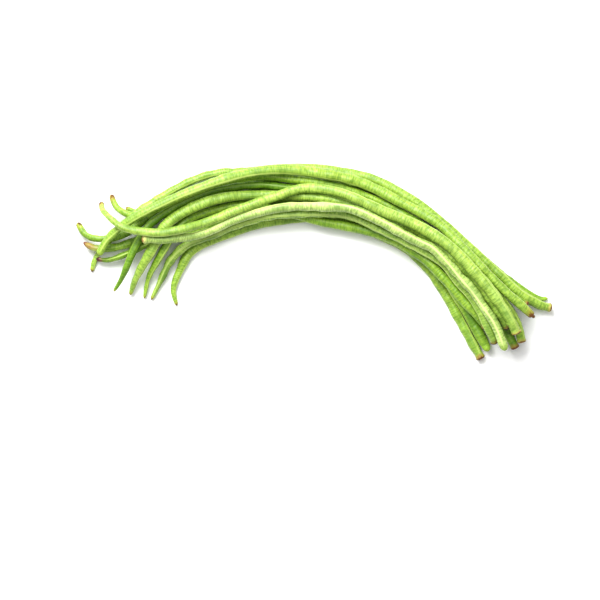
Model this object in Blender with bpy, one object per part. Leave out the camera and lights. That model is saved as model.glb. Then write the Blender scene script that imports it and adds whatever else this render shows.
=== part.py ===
# A bunch of fourteen yardlong beans, laid together on a level surface and bowed into a low arch.
# Metres, +Z up. The origin is on the surface, under the middle of the bunch.
import bpy
import numpy as np

MM = 0.001
BUNCH = "yardlong_bean_bunch"

# Driving sizes, in millimetres.
STEP = 2.0          # spacing of the points that a pod is laid down with
AIR = 0.35          # gap left between pods that touch
TUBE_POINTS = 46    # points kept along each pod
BEND_WEIGHT = 25.0  # how much closer those points stand where a pod bends
TIP_LENGTH = 52.0   # stretch over which the blossom end narrows
TIP_RATIO = 0.30    # thickness of the very tip, as a part of the pod's
NECK_LENGTH = 16.0  # stretch over which the stem end narrows
NECK_RATIO = 0.82   # thickness of the stem end, as a part of the pod's
BLUNT_LENGTH = 14.0  # the same two sizes for a rounded end without a beak
BLUNT_RATIO = 0.62
SIZE_PLACES = (0.12, 0.5, 0.88)  # where along a pod its three radii are measured
STIFFNESS = 120     # rounds of levelling that carry a pod across a hollow
EASE = 6            # half width, in steps, of the final easing of its height

# Each pod, from the bottom of the bunch to the top: its radius towards the left end, in the middle
# and towards the right end, its shade (0 dark green, 1 pale green), the kinds of its left and
# right ends, and the points that its route passes through.
PODS = {
    "pod_01": ((3.6, 3.7, 3.8), 0.45, "tip", "tip", [
        (-162, 47), (-147, 42), (-124, 50), (-98, 60), (-64, 68), (-30, 72), (6, 72), (39, 65),
        (57, 59), (82, 48), (104, 34), (130, 15), (151, -3), (168, -16), (185, -27), (194, -31),
        (200, -31)]),
    "pod_02": ((3.4, 3.9, 4.3), 0.60, "tip", "neck", [
        (-191, -8), (-187, 5), (-174, 21), (-157, 38), (-141, 50), (-116, 65), (-98, 73),
        (-81, 77), (-60, 78), (-21, 81), (13, 79), (48, 72), (82, 54), (106, 36), (134, 11),
        (160, -13), (177, -28), (194, -37), (203, -39)]),
    "pod_03": ((4.2, 3.9, 4.4), 0.55, "tip", "neck", [
        (-118, -37), (-121, -23), (-115, -6), (-105, 10), (-81, 22), (-47, 33), (-12, 38),
        (12, 37), (42, 29), (63, 20), (81, 10), (100, -9), (113, -29), (127, -54), (143, -83)]),
    "pod_04": ((4.1, 3.7, 4.3), 0.50, "tip", "neck", [
        (-198, 17), (-187, 12), (-170, 13), (-150, 19), (-124, 28), (-98, 36), (-64, 47),
        (-30, 54), (5, 55), (49, 44), (73, 33), (92, 21), (111, 3), (129, -16), (145, -35),
        (157, -53), (165, -68)]),
    "pod_05": ((3.6, 3.7, 4.6), 0.40, "tip", "blunt", [
        (-187, 3), (-176, 2), (-159, 8), (-141, 16), (-124, 20), (-98, 26), (-64, 38), (-30, 45),
        (5, 47), (45, 36), (68, 27), (87, 15), (105, -4), (119, -24), (130, -42), (139, -58),
        (149, -76)]),
    "pod_06": ((3.6, 3.6, 3.5), 0.30, "tip", "neck", [
        (-203, 34), (-195, 23), (-179, 20), (-161, 25), (-146, 36), (-129, 46), (-98, 51),
        (-64, 57), (-30, 62), (5, 63), (53, 51), (77, 40), (98, 28), (119, 9), (142, -9),
        (166, -27), (182, -37)]),
    "pod_07": ((3.6, 3.8, 4.2), 0.35, "tip", "neck", [
        (-146, -31), (-142, -13), (-134, 2), (-121, 23), (-112, 34), (-98, 41), (-64, 49),
        (-40, 46), (-14, 40), (5, 35), (39, 28), (65, 20), (94, 2), (112, -16), (129, -35),
        (138, -44), (147, -56)]),
    "pod_08": ((3.8, 3.8, 4.2), 0.10, "tip", "neck", [
        (-172, -25), (-164, -12), (-154, 11), (-144, 28), (-132, 39), (-107, 53), (-81, 62),
        (-51, 66), (-25, 64), (5, 59), (48, 40), (70, 30), (92, 19), (115, 4), (134, -13),
        (149, -32), (160, -49), (172, -74)]),
    "pod_09": ((4.3, 3.9, 4.2), 0.85, "tip", "neck", [
        (-140, -32), (-131, -14), (-123, 2), (-109, 15), (-86, 24), (-60, 34), (-34, 40), (5, 42),
        (31, 39), (56, 28), (82, 15), (108, 0), (121, -15), (134, -30), (142, -43), (148, -56),
        (154, -69)]),
    "pod_10": ((3.6, 3.7, 4.4), 0.25, "tip", "neck", [
        (-174, 58), (-169, 47), (-155, 40), (-137, 45), (-111, 57), (-81, 68), (-47, 74),
        (-12, 70), (22, 64), (56, 51), (82, 37), (108, 19), (134, -3), (157, -29), (172, -52),
        (177, -69)]),
    "pod_11": ((4.8, 3.8, 4.1), 0.65, "tip", "neck", [
        (-158, -28), (-152, -12), (-139, 10), (-128, 30), (-116, 40), (-98, 49), (-73, 56),
        (-43, 57), (-12, 56), (22, 51), (56, 38), (89, 25), (114, 7), (136, -16), (154, -39),
        (165, -57)]),
    "pod_12": ((3.9, 5.0, 3.6), 0.70, "blunt", "neck", [
        (-184, 6), (-176, 20), (-159, 34), (-133, 48), (-98, 63), (-64, 74), (-30, 79), (5, 76),
        (39, 68), (74, 51), (105, 33), (125, 13), (142, -5), (160, -23), (177, -38),
        (187, -47)]),
    "pod_13": ((3.4, 4.4, 4.5), 1.00, "neck", "blunt", [
        (-147, 20), (-129, 19), (-98, 23), (-64, 37), (-30, 46), (5, 47), (31, 45), (56, 34),
        (86, 18), (99, 12), (112, 0), (123, -12), (134, -24), (142, -36), (151, -49),
        (157, -62), (162, -75)]),
    "pod_14": ((3.7, 4.0, 5.2), 0.60, "tip", "neck", [
        (-182, 51), (-180, 44), (-166, 31), (-154, 27), (-129, 25), (-98, 32), (-64, 45),
        (-30, 57), (-8, 63), (22, 59), (56, 44), (91, 29), (117, 11), (142, -16), (156, -34),
        (167, -51), (172, -61)]),
}
ENDS = {
    "tip": (TIP_LENGTH, TIP_RATIO),
    "neck": (NECK_LENGTH, NECK_RATIO),
    "blunt": (BLUNT_LENGTH, BLUNT_RATIO),
}
DARK_GREEN = np.array((0.10, 0.24, 0.02))
PALE_GREEN = np.array((0.44, 0.62, 0.20))
SKIN_ROUGHNESS = 0.42


def arc_length(points):
    """Distance along a row of points, starting at zero."""
    return np.concatenate(([0.0], np.cumsum(np.linalg.norm(np.diff(points, axis=0), axis=1))))


def smooth_route(points):
    """A smooth curve through the points (Catmull-Rom), read off at even steps."""
    given = np.array(points, float)
    before = 2 * given[0] - given[1]
    after = 2 * given[-1] - given[-2]
    padded = np.vstack((before, given, after))
    curve = []
    for a, b, c, d in zip(padded, padded[1:], padded[2:], padded[3:]):
        for t in np.linspace(0.0, 1.0, 12, endpoint=False):
            curve.append(0.5 * (2 * b + (c - a) * t + (2 * a - 5 * b + 4 * c - d) * t ** 2
                                + (3 * b - a - 3 * c + d) * t ** 3))
    curve.append(given[-1])
    curve = np.array(curve)
    along = arc_length(curve)
    even = np.linspace(0.0, along[-1], round(along[-1] / STEP) + 1)
    return np.column_stack([np.interp(even, along, curve[:, axis]) for axis in range(2)])


def end_factor(distance, kind):
    """How thick the pod is at a distance from an end of this kind, as a part of its radius."""
    length, ratio = ENDS[kind]
    u = np.clip(distance / length, 0.0, 1.0)
    return ratio + (1.0 - ratio) * np.sin(0.5 * np.pi * u)


def pod_radius(route, sizes, left, right):
    """Radius along a pod, narrowed at both ends."""
    along = arc_length(route)
    length = along[-1]
    body = np.interp(along, np.array(SIZE_PLACES) * length, sizes)
    return body * end_factor(along, left) * end_factor(length - along, right)


def eased(height, need):
    """Carry a stiff pod across hollows, then round its height off without going below need."""
    for _ in range(STIFFNESS):
        middle = 0.5 * (height[:-2] + height[2:])
        height[1:-1] = np.maximum(need[1:-1], middle)
    padded = np.pad(height, 2 * EASE, mode="edge")
    window = 2 * EASE + 1
    highest = np.array([padded[i:i + window].max() for i in range(len(padded) - 2 * EASE)])
    weights = np.hanning(window + 2)[1:-1]
    return np.convolve(highest, weights / weights.sum(), mode="valid")


def lay_down(route, radius, below):
    """Heights of a pod that rests on the surface and on the pods already laid."""
    need = radius.copy()
    for other_route, other_height, other_radius in below:
        apart = np.linalg.norm(route[:, None, :] - other_route[None, :, :], axis=2)
        reach = radius[:, None] + other_radius[None, :] + AIR
        rise = np.sqrt(np.maximum(reach ** 2 - apart ** 2, 0.0))
        over = np.where(apart < reach, other_height[None, :] + rise, 0.0)
        need = np.maximum(need, over.max(axis=1))
    return eased(need.copy(), need)


def tube_samples(path):
    """Positions along the path for the tube's points, closer together where it bends."""
    along = arc_length(path)
    heading = np.gradient(path, along, axis=0)
    heading /= np.linalg.norm(heading, axis=1)[:, None]
    bend = np.linalg.norm(np.gradient(heading, along, axis=0), axis=1)
    weight = np.cumsum(1.0 + BEND_WEIGHT * bend)
    return np.interp(np.linspace(weight[0], weight[-1], TUBE_POINTS), weight, along)


def pod_material(name, shade):
    material = bpy.data.materials.new(name + "_skin")
    material.use_nodes = True
    shader = material.node_tree.nodes["Principled BSDF"]
    colour = DARK_GREEN + shade * (PALE_GREEN - DARK_GREEN)
    shader.inputs["Base Color"].default_value = (*colour, 1.0)
    shader.inputs["Roughness"].default_value = SKIN_ROUGHNESS
    shader.inputs["Metallic"].default_value = 0.0
    return material


def pod_tube(name, path, radius, shade, collection):
    """A pod as a tube of eight sides along its path, closed at both ends."""
    along = arc_length(path)
    places = tube_samples(path)
    curve = bpy.data.curves.new(name, "CURVE")
    curve.dimensions = "3D"
    curve.bevel_depth = MM
    curve.bevel_resolution = 2
    curve.use_fill_caps = True
    spline = curve.splines.new("POLY")
    spline.points.add(TUBE_POINTS - 1)
    for point, place in zip(spline.points, places):
        spot = [np.interp(place, along, path[:, axis]) * MM for axis in range(3)]
        point.co = (*spot, 1.0)
        point.radius = np.interp(place, along, radius)
    curve.materials.append(pod_material(name, shade))
    tube = bpy.data.objects.new(name, curve)
    collection.objects.link(tube)
    return tube


def centre_over_origin(tubes):
    """Move the whole bunch so that the middle of its underside is the origin."""
    bpy.context.view_layer.update()
    depsgraph = bpy.context.evaluated_depsgraph_get()
    corners = []
    for tube in tubes:
        mesh = tube.evaluated_get(depsgraph).to_mesh()
        corners.extend(vertex.co.copy() for vertex in mesh.vertices)
        tube.evaluated_get(depsgraph).to_mesh_clear()
    corners = np.array(corners)
    low = corners.min(axis=0)
    high = corners.max(axis=0)
    middle = 0.5 * (low + high)
    for tube in tubes:
        tube.location = (-middle[0], -middle[1], -low[2])


def build():
    for old in list(bpy.data.objects):
        bpy.data.objects.remove(old)
    collection = bpy.data.collections.new(BUNCH)
    bpy.context.scene.collection.children.link(collection)
    laid = []
    tubes = []
    for name, (sizes, shade, left, right, points) in PODS.items():
        route = smooth_route(points)
        radius = pod_radius(route, sizes, left, right)
        height = lay_down(route, radius, laid)
        laid.append((route, height, radius))
        path = np.column_stack((route, height))
        tubes.append(pod_tube(name, path, radius, shade, collection))
    centre_over_origin(tubes)


build()
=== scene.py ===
import bmesh
import bpy
import numpy as np
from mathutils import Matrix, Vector


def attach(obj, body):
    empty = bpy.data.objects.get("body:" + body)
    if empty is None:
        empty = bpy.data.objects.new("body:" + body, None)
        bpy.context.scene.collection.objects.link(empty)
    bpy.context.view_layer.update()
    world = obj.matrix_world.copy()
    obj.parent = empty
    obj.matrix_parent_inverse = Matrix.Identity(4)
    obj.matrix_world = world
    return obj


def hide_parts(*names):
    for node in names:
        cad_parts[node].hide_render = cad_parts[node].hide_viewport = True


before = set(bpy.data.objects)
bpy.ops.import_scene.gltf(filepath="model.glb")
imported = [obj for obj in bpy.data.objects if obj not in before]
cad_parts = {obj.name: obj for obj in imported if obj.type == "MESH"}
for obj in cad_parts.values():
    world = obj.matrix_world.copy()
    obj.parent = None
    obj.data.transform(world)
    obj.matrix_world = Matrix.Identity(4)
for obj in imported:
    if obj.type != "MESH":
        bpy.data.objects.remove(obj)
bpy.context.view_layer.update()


# The camera looks straight down on the bunch; sizes are in metres.
view = {
    "height": 3.00,          # metres from the table to the lens
    "span": 0.511,           # width that the frame takes in at the bunch
    "aim": (-0.0125, -0.0323),
    "bunchMiddle": 0.022,    # height at which the span is measured
    "sensor": 0.036,
}

light = {
    "window": {"place": (-0.42, 0.90, 1.15), "size": 0.9, "watts": 35.0},
    "overhead": {"place": (0.0, 0.35, 1.9), "size": 1.4, "watts": 13.0},
    "room": 0.40,            # brightness of the plain surroundings
    "table": (0.93, 0.93, 0.93),
    "tableWidth": 6.0,
}


def addCamera():
    lens = bpy.data.cameras.new("camera")
    lens.sensor_width = view["sensor"] * 1000
    reach = view["height"] - view["bunchMiddle"]
    lens.lens = lens.sensor_width * reach / view["span"]
    camera = bpy.data.objects.new("camera", lens)
    camera.location = (*view["aim"], view["height"])
    bpy.context.collection.objects.link(camera)
    bpy.context.scene.camera = camera


def addSoftLight(name, place, size, watts):
    lamp = bpy.data.lights.new(name, "AREA")
    lamp.size = size
    lamp.energy = watts
    stand = bpy.data.objects.new(name, lamp)
    stand.location = place
    stand.rotation_euler = Vector(place).to_track_quat("Z", "Y").to_euler()
    bpy.context.collection.objects.link(stand)


def addTable():
    half = light["tableWidth"] / 2
    top = bmesh.new()
    bmesh.ops.create_grid(top, x_segments=1, y_segments=1, size=half)
    mesh = bpy.data.meshes.new("table")
    top.to_mesh(mesh)
    top.free()
    table = bpy.data.objects.new("table", mesh)
    bpy.context.collection.objects.link(table)
    paint = bpy.data.materials.new("tablePaint")
    paint.use_nodes = True
    shader = paint.node_tree.nodes["Principled BSDF"]
    shader.inputs["Base Color"].default_value = (*light["table"], 1)
    shader.inputs["Roughness"].default_value = 0.9
    mesh.materials.append(paint)


def lightRoom():
    room = bpy.data.worlds.new("room")
    room.use_nodes = True
    glow = room.node_tree.nodes["Background"]
    glow.inputs["Color"].default_value = (1, 1, 1, 1)
    glow.inputs["Strength"].default_value = light["room"]
    bpy.context.scene.world = room
    for name in ("window", "overhead"):
        addSoftLight(name, **light[name])
    bpy.context.scene.view_settings.view_transform = "Standard"
    bpy.context.scene.view_settings.look = "Medium High Contrast"


addCamera()
addTable()
lightRoom()
print("camera, table and light are ready")


class Wire:  # a node's output that can stand in a sum
    def __init__(self, maker, node, output):
        self.maker = maker
        self.node = node
        self.socket = node.outputs[output] if node.outputs else None

    def also(self, output):  # another output of the same node
        return Wire(self.maker, self.node, output)

    def __add__(self, other):
        return self.maker.math("ADD", self, other)

    def __radd__(self, other):
        return self.maker.math("ADD", other, self)

    def __sub__(self, other):
        return self.maker.math("SUBTRACT", self, other)

    def __rsub__(self, other):
        return self.maker.math("SUBTRACT", other, self)

    def __mul__(self, other):
        return self.maker.math("MULTIPLY", self, other)

    def __rmul__(self, other):
        return self.maker.math("MULTIPLY", other, self)

    def __truediv__(self, other):
        return self.maker.math("DIVIDE", self, other)

    def __pow__(self, other):
        return self.maker.math("POWER", self, other)


class Maker:  # adds nodes to one tree
    def __init__(self, tree):
        self.tree = tree

    def add(self, kind, settings=None, sockets=None, output=0):
        node = self.tree.nodes.new(kind)
        for name, value in (settings or {}).items():
            setattr(node, name, value)
        for key, value in (sockets or {}).items():
            if isinstance(value, Wire):
                self.tree.links.new(value.socket, node.inputs[key])
            else:
                node.inputs[key].default_value = value
        return Wire(self, node, output)

    def math(self, operation, *values):
        return self.add("ShaderNodeMath", {"operation": operation}, dict(enumerate(values)))

    def vector(self, operation, *values):
        return self.add("ShaderNodeVectorMath", {"operation": operation}, dict(enumerate(values)))

    def join(self, x, y, z):
        return self.add("ShaderNodeCombineXYZ", None, {0: x, 1: y, 2: z})

    def rise(self, value, low, high):  # 0 below low, 1 above high, smooth between
        return self.add("ShaderNodeMapRange", {"interpolation_type": "SMOOTHSTEP"},
                        {"Value": value, "From Min": low, "From Max": high})

    def noise(self, place, scale, detail=2.0):
        return self.add("ShaderNodeTexNoise", None,
                        {"Vector": place, "Scale": scale, "Detail": detail})

    def blend(self, share, first, second):  # colours: first at share 0, second at share 1
        return self.add("ShaderNodeMix", {"data_type": "RGBA"}, {0: share, 6: first, 7: second}, 2)


# What each pod is like, from the bottom of the bunch to the top. The colours are a shade of green,
# from 0 dark to 1 pale, and how yellow it is. An end is (form, plumpness, tint).
pods = {
    "pod_01": {"green": 0.40, "yellow": 0.45, "left": ("beak", 0.50, "tan"),
               "right": ("beak", 0.3, "green"), "roll": 0.4},
    "pod_02": {"green": 0.62, "yellow": 0.50, "left": ("beak", 0.55, "tan"),
               "right": ("stem", 0.2, "ring"), "roll": 1.9},
    "pod_03": {"green": 0.58, "yellow": 0.55, "left": ("beak", 0.1, "tan"),
               "right": ("stem", 0.3, "rust"), "roll": 2.6},
    "pod_04": {"green": 0.50, "yellow": 0.45, "left": ("flat", 0.80, "pink"),
               "right": ("stem", 0.2, "ring"), "roll": 5.2},
    "pod_05": {"green": 0.45, "yellow": 0.50, "left": ("beak", 0.45, "purple"),
               "right": ("round", 0.2, "green"), "roll": 1.2},
    "pod_06": {"green": 0.42, "yellow": 0.55, "left": ("round", 0.80, "spots"),
               "right": ("stem", 0.0, "rust"), "roll": 3.9},
    "pod_07": {"green": 0.50, "yellow": 0.40, "left": ("beak", 0.1, "tan"),
               "right": ("stem", 0.0, "rust"), "roll": 2.2},
    "pod_08": {"green": 0.32, "yellow": 0.35, "left": ("beak", 0.1, "tan"),
               "right": ("stem", 0.1, "rust"), "roll": 0.9, "seam": 0.25},
    "pod_09": {"green": 0.70, "yellow": 0.20, "left": ("beak", 0.1, "tan"),
               "right": ("stem", 0.1, "black"), "roll": 4.4},
    "pod_10": {"green": 0.50, "yellow": 0.50, "left": ("beak", 0.60, "brown"),
               "right": ("stem", 0.1, "ring"), "roll": 3.2},
    "pod_11": {"green": 0.66, "yellow": 0.60, "left": ("beak", 0.1, "tan"),
               "right": ("stem", 0.0, "black"), "roll": 5.7},
    "pod_12": {"green": 0.62, "yellow": 0.65, "left": ("round", 0.62, "green"),
               "right": ("stub", 0.1, "scar"), "roll": 1.5},
    "pod_13": {"green": 0.92, "yellow": 0.35, "left": ("knob", 0.55, "cream"),
               "right": ("round", 0.2, "green"), "roll": 0.2, "seam": 0.8},
    "pod_14": {"green": 0.70, "yellow": 0.55, "left": ("beak", 0.60, "brown"),
               "right": ("stem", 0.1, "ring"), "roll": 2.9, "seam": 0.35},
}

growth = {
    "step": 0.0006,           # spacing of the rings along a pod
    "sides": 36,              # corners around it
    "endSteps": (0.0, 0.00003, 0.0001, 0.0002, 0.0004, 0.0006, 0.0009, 0.0013, 0.0018, 0.0024),
    "bodyAt": 0.055,          # where a pod has its full thickness, from an end
    "plumpOver": 0.030,       # how far a plump end reaches
    "twist": 4.0,             # turns of the seams, radians per metre
    "wander": 0.9,            # how far the seams stray from that, radians
    "wanderScale": 9.0,       # this and the other scales are in waves per metre
    "slack": 0.06,            # how much slimmer a pod is grown, so that swellings clear each other
    "oval": 0.11,             # how much wider the seams stand apart than the flanks
    "seam": 0.05,            # height of the main seam's ridge, as a share of the radius
    "backSeam": 0.03,
    "seamSharp": 26.0,
    "seedSpacing": 0.0155,
    "seedSwell": 0.10,
    "seedDrift": 9.0,         # how unevenly the seeds are spaced
    "seedDriftScale": 14.0,
    "seedPatchScale": 22.0,
    "seedPatches": (0.35, 0.65),  # seeds show only where this noise is high
    "lumps": 0.40,
    "lumpScale": 55.0,
    "lumpRadius": 0.006,      # how differently the lumps fall on a pod's sides
    "wrinkle": 0.17,
    "wrinkleLength": 0.0018,
    "wrinkleBend": 0.45,      # how far a wrinkle runs round the pod before it changes
    "reliefFrom": (0.0006, 0.007),  # distance from an end where relief starts and is full
    "restHeight": 0.00005,    # the skin is pressed flat where it would reach lower than this
}


def flatPatch(face):  # the face and its neighbours that lie in one plane with it
    patch = {face}
    waiting = [face]
    while waiting:
        for edge in waiting.pop().edges:
            for other in edge.link_faces:
                if other not in patch and other.normal.dot(face.normal) > 0.99999:
                    patch.add(other)
                    waiting.append(other)
    return patch


def ringsFrom(corners):  # the tube's rings, one after another, starting at these corners
    rings = [set(corners)]
    seen = set(corners)
    while rings[-1]:
        nearby = {edge.other_vert(corner) for corner in rings[-1] for edge in corner.link_edges}
        rings.append(nearby - seen)
        seen |= nearby
    return rings[:-1]


def middleLine(node):
    # centre and radius of each ring of a packed pod, from its left end to its right end
    tube = bmesh.new()
    tube.from_mesh(node.data)
    bmesh.ops.remove_doubles(tube, verts=tube.verts, dist=1e-6)
    sides = 8
    rings = []
    for face in tube.faces:
        corners = {corner for part in flatPatch(face) for corner in part.verts}
        if len(corners) == sides:
            rings = ringsFrom(corners)
            if all(len(ring) == sides for ring in rings):
                break
    places = [np.array([corner.co for corner in ring]) for ring in rings]
    tube.free()
    centres = np.array([place.mean(axis=0) for place in places])
    sizes = np.array([np.linalg.norm(place - place.mean(axis=0), axis=1).mean()
                      for place in places])
    if centres[0][0] > centres[-1][0]:
        centres = centres[::-1]
        sizes = sizes[::-1]
    return centres, sizes


def smoothAlong(places, values, wanted):
    # values at other places along a line, on a curve that keeps the line's slopes
    slopes = np.gradient(values, places, axis=0)
    i = np.clip(np.searchsorted(places, wanted, side="right") - 1, 0, len(places) - 2)
    span = places[i + 1] - places[i]
    t = (wanted - places[i]) / span
    if values.ndim > 1:
        span = span[:, None]
        t = t[:, None]
    start = values[i] * (1 + 2 * t) + slopes[i] * span * t
    end = values[i + 1] * (3 - 2 * t) - slopes[i + 1] * span * (1 - t)
    return start * (1 - t) ** 2 + end * t ** 2


def ringPlaces(length):  # where along a pod its rings stand, close together at both ends
    ends = np.array(growth["endSteps"])
    inner = np.arange(ends[-1] + growth["step"], length - ends[-1], growth["step"])
    return np.concatenate((ends, inner, length - ends[::-1]))


def rounded(distance, over, power):  # closes an end like part of a ball, or flatter
    u = np.clip(distance / over, 0.0, 1.0)
    return np.maximum((1 - (1 - u) ** power) ** (1 / power), 0.04)


def hump(distance, at, width):
    return np.exp(-((distance - at) / width) ** 2)


endForms = {  # the stretch over which an end closes, and how flatly
    "beak": (0.0028, 1.7),
    "flat": (0.0085, 1.6),
    "round": (0.0042, 2),
    "knob": (0.0030, 2.2),
    "stem": (0.0020, 2.5),
    "stub": (0.0006, 3),
}

endBumps = {  # swellings and waists near an end: height as a share of the radius, place, half width
    "beak": (),
    "flat": ((-0.10, 0.012, 0.004),),
    "round": (),
    "knob": ((0.34, 0.0030, 0.0028), (-0.10, 0.010, 0.004)),
    "stem": ((0.06, 0.0016, 0.0012), (-0.05, 0.006, 0.003)),
    "stub": (),
}

stubShoulder = {"length": 0.0024, "thickness": 0.42, "roundOver": 0.0022}


def endShape(form, distance):
    # how thick the pod is near an end of this form, beside its packed thickness
    over, power = endForms[form]
    bumps = sum(height * hump(distance, at, width) for height, at, width in endBumps[form])
    shape = rounded(distance, over, power) * (1 + bumps)
    if form == "stub":  # a thin stub of the stalk, standing on the pod's shoulder
        past = np.maximum(distance - stubShoulder["length"], 0)
        thin = stubShoulder["thickness"]
        shape = shape * (thin + (1 - thin) * rounded(past, stubShoulder["roundOver"], 2))
    return shape


def grownRadius(sizes, along, look):
    length = along[-1]
    body = np.interp(growth["bodyAt"], along, sizes), np.interp(length - growth["bodyAt"], along, sizes)
    radius = sizes.copy()
    for distance, full, (form, plump, _) in zip((along, length - along), body,
                                                (look["left"], look["right"])):
        share = plump * np.clip(1 - distance / growth["plumpOver"], 0, 1) ** 0.5
        radius = radius ** (1 - share) * full ** share
        radius = radius * endShape(form, distance)
    return radius


def growTree():
    # sweeps a pod's round section along its middle line and raises seams, seeds and wrinkles on it
    tree = bpy.data.node_groups.new("growPod", "GeometryNodeTree")
    sockets = [("Middle line", "NodeSocketGeometry"), ("Length", "NodeSocketFloat"),
               ("Roll", "NodeSocketFloat"), ("Seed", "NodeSocketFloat"),
               ("Sides", "NodeSocketInt"), ("Skin", "NodeSocketMaterial")]
    for name, kind in sockets:
        tree.interface.new_socket(name, in_out="INPUT", socket_type=kind)
    tree.interface.new_socket("Pod", in_out="OUTPUT", socket_type="NodeSocketGeometry")
    make = Maker(tree)
    given = make.add("NodeGroupInput")
    length = given.also("Length")
    seed = given.also("Seed")

    along = make.add("GeometryNodeSplineParameter", output="Length")
    strayed = make.noise(make.join(along, seed, 0.0), growth["wanderScale"], 1.0) - 0.5
    tilt = given.also("Roll") + along * growth["twist"] + strayed * (2 * growth["wander"])
    line = make.add("GeometryNodeSetCurveTilt", None, {"Curve": given, "Tilt": tilt})

    def keep(kind, geometry, value):  # carries a value on through the sweep
        store = make.add("GeometryNodeStoreNamedAttribute", {"data_type": kind},
                         {"Geometry": geometry, "Name": "kept" + str(len(tree.nodes)),
                          "Value": value})
        name = store.node.inputs["Name"].default_value
        held = make.add("GeometryNodeInputNamedAttribute", {"data_type": kind}, {"Name": name})
        return store, held

    line, alongHere = keep("FLOAT", line, along)
    line, centre = keep("FLOAT_VECTOR", line, make.add("GeometryNodeInputPosition"))
    circle = make.add("GeometryNodeCurvePrimitiveCircle", None,
                      {"Resolution": given.also("Sides"), "Radius": 1.0})
    turn = make.add("GeometryNodeSplineParameter", output="Factor") * (2 * np.pi)
    circle, side = keep("FLOAT", circle, make.math("COSINE", turn))
    circle, top = keep("FLOAT", circle, make.math("SINE", turn))
    tube = make.add("GeometryNodeCurveToMesh", None,
                    {"Curve": line, "Profile Curve": circle, "Fill Caps": True,
                     "Scale": make.add("GeometryNodeInputRadius")})

    ridge = make.math("MAXIMUM", side, 0.0) ** growth["seamSharp"] * growth["seam"]
    backRidge = make.math("MAXIMUM", side * -1.0, 0.0) ** growth["seamSharp"] * growth["backSeam"]
    flank = make.math("ABSOLUTE", top)
    uneven = make.noise(make.join(alongHere, seed, 1.0), growth["seedDriftScale"], 1.0)
    drift = uneven * growth["seedDrift"]
    beat = make.math("SINE", alongHere * (2 * np.pi / growth["seedSpacing"]) + drift)
    fullness = make.noise(make.join(alongHere, seed, 2.0), growth["seedPatchScale"], 1.0)
    seeds = beat * flank * make.rise(fullness, *growth["seedPatches"]) * growth["seedSwell"]
    spread = growth["lumpRadius"]
    around = make.join(side * spread, top * spread, alongHere + seed)
    lumps = (make.noise(around, growth["lumpScale"], 2.0) - 0.5) * growth["lumps"]
    bend = growth["wrinkleBend"]
    cross = make.join(side * bend, top * bend, (alongHere + seed) / growth["wrinkleLength"])
    wrinkles = (make.noise(cross, 1.0, 1.0) - 0.5) * flank * growth["wrinkle"]
    nearest = make.math("MINIMUM", alongHere, length - alongHere)
    oval = (0.5 - top * top) * growth["oval"]
    relief = oval + ridge + backRidge + seeds + lumps + wrinkles
    swell = (relief - growth["slack"]) * make.rise(nearest, *growth["reliefFrom"])
    outward = make.vector("SUBTRACT", make.add("GeometryNodeInputPosition"), centre)
    moved = make.add("ShaderNodeVectorMath", {"operation": "SCALE"}, {0: outward, "Scale": swell})
    pod = make.add("GeometryNodeSetPosition", None, {"Geometry": tube, "Offset": moved})
    here = make.add("GeometryNodeInputPosition")
    rested = make.vector("MAXIMUM", here, (-1.0, -1.0, growth["restHeight"]))  # flat on the table
    pod = make.add("GeometryNodeSetPosition", None, {"Geometry": pod, "Position": rested})
    for name, value in (("along", alongHere), ("side", side), ("top", top)):
        pod = make.add("GeometryNodeStoreNamedAttribute", {"data_type": "FLOAT"},
                       {"Geometry": pod, "Name": name, "Value": value})
    pod = make.add("GeometryNodeSetShadeSmooth", None, {"Geometry": pod})
    pod = make.add("GeometryNodeRealizeInstances", None, {"Geometry": pod})
    pod = make.add("GeometryNodeSetMaterial", None,
                   {"Geometry": pod, "Material": given.also("Skin")})
    make.add("NodeGroupOutput", None, {"Pod": pod})
    return tree


def growPod(name, tree, look):
    centres, sizes = middleLine(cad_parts[name])
    places = np.concatenate(([0.0], np.cumsum(np.linalg.norm(np.diff(centres, axis=0), axis=1))))
    along = ringPlaces(places[-1])
    length = float(places[-1])
    line = smoothAlong(places, centres, along)
    radius = grownRadius(smoothAlong(places, sizes, along), along, look)
    curve = bpy.data.curves.new(name, "CURVE")
    curve.dimensions = "3D"
    spline = curve.splines.new("POLY")
    spline.points.add(len(along) - 1)
    for point, place, size in zip(spline.points, line, radius):
        point.co = (*place, 1.0)
        point.radius = size
    guide = bpy.data.objects.new(name + "Guide", curve)
    bpy.context.collection.objects.link(guide)
    grower = guide.modifiers.new("grow", "NODES")
    grower.node_group = tree
    given = {"Length": length, "Roll": look["roll"], "Seed": int(name[-2:]) * skinLook["seedStep"],
             "Sides": growth["sides"], "Skin": podSkin(name, look, length)}
    for item in tree.interface.items_tree:
        if item.in_out == "INPUT" and item.name in given:
            grower[item.identifier] = given[item.name]
    bpy.context.view_layer.update()
    grown = guide.evaluated_get(bpy.context.evaluated_depsgraph_get())
    mesh = bpy.data.meshes.new_from_object(grown)
    for attribute in [a.name for a in mesh.attributes if a.name.startswith("kept")]:
        mesh.attributes.remove(mesh.attributes[attribute])
    bpy.data.objects.remove(guide)
    pod = bpy.data.objects.new("bean" + name[3:], mesh)
    bpy.context.collection.objects.link(pod)
    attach(pod, "root")
    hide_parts(name)


def tone(red, green, blue):  # a colour as a screen shows it, turned into light
    return (*[((c + 0.055) / 1.055) ** 2.4 for c in (red, green, blue)], 1.0)


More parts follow.
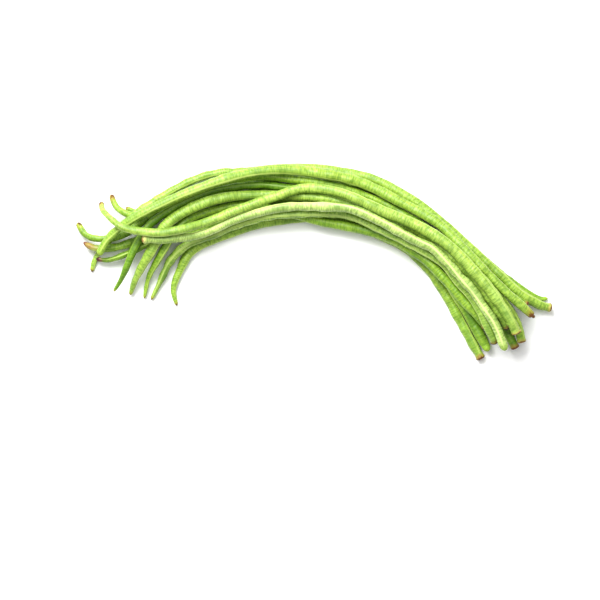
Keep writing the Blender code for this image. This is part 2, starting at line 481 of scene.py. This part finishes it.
skinLook = {
    "dark": (0.24, 0.42, 0.05),
    "shade": (0.15, 0.31, 0.04),
    "middle": (0.57, 0.71, 0.24),
    "pale": (0.75, 0.83, 0.52),
    "yellow": (0.73, 0.79, 0.31),
    "seam": (0.86, 0.90, 0.60),
    "speckle": (0.22, 0.36, 0.06),
    "roughness": 0.42,
    "wrinkleLength": 0.00105,
    "wrinkleHeight": 0.00045,
    "wrinkleBend": 0.8,
    "folds": (0.36, 0.60),    # where the wrinkles' noise turns from shade to base colour
    "foldShadeShare": 0.70,
    "radius": 0.0045,         # the pods' usual radius, which wraps the patterns round them
    "patchScale": 38.0,
    "patches": (0.25, 0.62),
    "streakScale": 1.6,
    "streaks": (0.42, 0.75),
    "streakShare": 0.75,
    "seamShare": 0.75,
    "speckleScale": 420.0,
    "speckleShare": 0.55,
    "seedStep": 1.37,         # sets each pod's patterns apart
}

endTints = {  # reach in metres, then the outer, inner and middle colour
    "green": (0.0040, (0.62, 0.72, 0.25), (0.60, 0.74, 0.26), (0.62, 0.70, 0.30)),
    "tan": (0.0026, (0.46, 0.33, 0.14), (0.62, 0.64, 0.25), (0.42, 0.28, 0.12)),
    "brown": (0.0060, (0.36, 0.17, 0.08), (0.60, 0.50, 0.20), (0.30, 0.14, 0.07)),
    "pink": (0.0095, (0.44, 0.22, 0.18), (0.62, 0.50, 0.28), (0.34, 0.16, 0.12)),
    "purple": (0.0042, (0.22, 0.08, 0.13), (0.50, 0.26, 0.26), (0.20, 0.07, 0.10)),
    "spots": (0.0055, (0.34, 0.18, 0.07), (0.66, 0.70, 0.26), (0.60, 0.60, 0.22)),
    "ring": (0.0026, (0.46, 0.26, 0.14), (0.68, 0.64, 0.32), (0.78, 0.80, 0.52)),
    "scar": (0.0085, (0.44, 0.24, 0.11), (0.62, 0.60, 0.24), (0.36, 0.20, 0.10)),
    "rust": (0.0034, (0.38, 0.18, 0.09), (0.56, 0.46, 0.20), (0.66, 0.60, 0.34)),
    "black": (0.0034, (0.12, 0.07, 0.04), (0.46, 0.34, 0.16), (0.48, 0.40, 0.22)),
    "cream": (0.0030, (0.64, 0.44, 0.28), (0.82, 0.82, 0.50), (0.84, 0.84, 0.56)),
}


def blended(first, second, share):
    return tuple(a + (b - a) * share for a, b in zip(first, second))


def podSkin(name, look, length):
    skin = bpy.data.materials.new(name + "Skin")
    skin.use_nodes = True
    tree = skin.node_tree
    make = Maker(tree)
    shader = tree.nodes["Principled BSDF"]

    def held(attribute):
        return make.add("ShaderNodeAttribute", {"attribute_name": attribute}, None, "Fac")

    seed = int(name[-2:]) * skinLook["seedStep"]
    along = held("along")
    side = held("side")
    top = held("top")
    place = make.join(side * skinLook["radius"], top * skinLook["radius"], along + seed)
    flank = make.math("ABSOLUTE", top)

    green = look["green"]
    base = blended(skinLook["dark"], skinLook["middle"], min(green * 2, 1))
    base = blended(base, skinLook["pale"], max(green * 2 - 1, 0))
    warm = blended(base, skinLook["yellow"], look["yellow"])
    # a darker green: the colour of the random darker patches, and of the painted shade in the folds and
    # the seam groove
    darkToneAndShade = blended(base, skinLook["shade"], 0.5)
    patches = make.noise(place, skinLook["patchScale"], 3.0)
    colour = make.blend(make.rise(patches, *skinLook["patches"]), tone(*darkToneAndShade), tone(*base))
    stretched = make.join(side * 2.2, top * 2.2, (along + seed) * 14.0)  # long along the pod
    streaks = make.noise(stretched, skinLook["streakScale"], 3.0)
    streaked = make.rise(streaks, *skinLook["streaks"]) * skinLook["streakShare"]
    colour = make.blend(streaked, colour, tone(*warm))

    bend = skinLook["wrinkleBend"]
    cross = make.join(side * bend, top * bend, (along + seed) / skinLook["wrinkleLength"])
    wrinkle = make.noise(cross, 1.0, 2.0)
    fold = make.rise(wrinkle, *skinLook["folds"])
    # painted shade: the troughs of the wrinkles on the flanks are darkened towards the darker green
    foldShade = (1 - fold) * make.rise(flank, 0.02, 0.30) * skinLook["foldShadeShare"]
    colour = make.blend(foldShade, colour, tone(*darkToneAndShade))

    seamWidth = make.noise(place, 140.0, 2.0) * 0.04
    seam = make.rise(make.math("ABSOLUTE", side) + seamWidth, 0.99, 1.02)
    seamTone = blended(base, skinLook["seam"], look.get("seam", 0.55))
    colour = make.blend(seam * skinLook["seamShare"], colour, tone(*seamTone))
    # painted shade: the thin groove along the middle of the main seam is darkened; the bump dents the
    # same groove
    shadedCrease = make.rise(side, 0.9955, 0.9995)
    colour = make.blend(shadedCrease * 0.5, colour, tone(*darkToneAndShade))

    dots = make.add("ShaderNodeTexVoronoi", None,
                    {"Vector": place, "Scale": skinLook["speckleScale"]}, "Distance")
    where = make.rise(make.noise(place, 60.0, 1.0), 0.52, 0.66)
    speckle = (1 - make.rise(dots, 0.08, 0.20)) * where
    colour = make.blend(speckle * skinLook["speckleShare"], colour, tone(*skinLook["speckle"]))

    ragged = (make.noise(place, 700.0, 3.0) - 0.5) * 0.9
    ragged = ragged + (make.noise(place, 190.0, 1.0) - 0.5) * 1.6
    dry = 0.0
    for distance, (_, _, tint) in ((along, look["left"]), (length - along, look["right"])):
        reach, outer, inner, heart = endTints[tint]
        soft = 1 - make.rise(distance / (reach * 1.8) + ragged * 0.5, 0.35, 1.0)
        hard = 1 - make.rise(distance / reach + ragged, 0.30, 0.75)
        centre = 1 - make.rise(distance + ragged * 0.0001, 0.00006, 0.0003)
        colour = make.blend(soft * 0.85, colour, tone(*inner))
        colour = make.blend(hard * 0.92, colour, tone(*outer))
        colour = make.blend(centre * 0.9, colour, tone(*heart))
        dry = hard + dry

    tree.links.new(colour.socket, shader.inputs["Base Color"])
    sheen = make.noise(place, 300.0, 2.0) * 0.16
    rough = skinLook["roughness"] - 0.08 + sheen + dry * 0.25
    tree.links.new(rough.socket, shader.inputs["Roughness"])
    grain = make.noise(place, 1500.0, 2.0) * 0.12
    relief = wrinkle * (flank * 0.8 + 0.2) + grain + streaks * 0.25 - shadedCrease * 0.6 - speckle * 0.2
    bump = make.add("ShaderNodeBump", None, {"Strength": 0.8, "Distance": skinLook["wrinkleHeight"],
                                             "Height": relief})
    tree.links.new(bump.socket, shader.inputs["Normal"])
    shader.inputs["Specular IOR Level"].default_value = 0.45
    return skin


def growBunch():
    tree = growTree()
    for name, look in pods.items():
        growPod(name, tree, look)
    print(len(pods), "pods have grown")


growBunch()
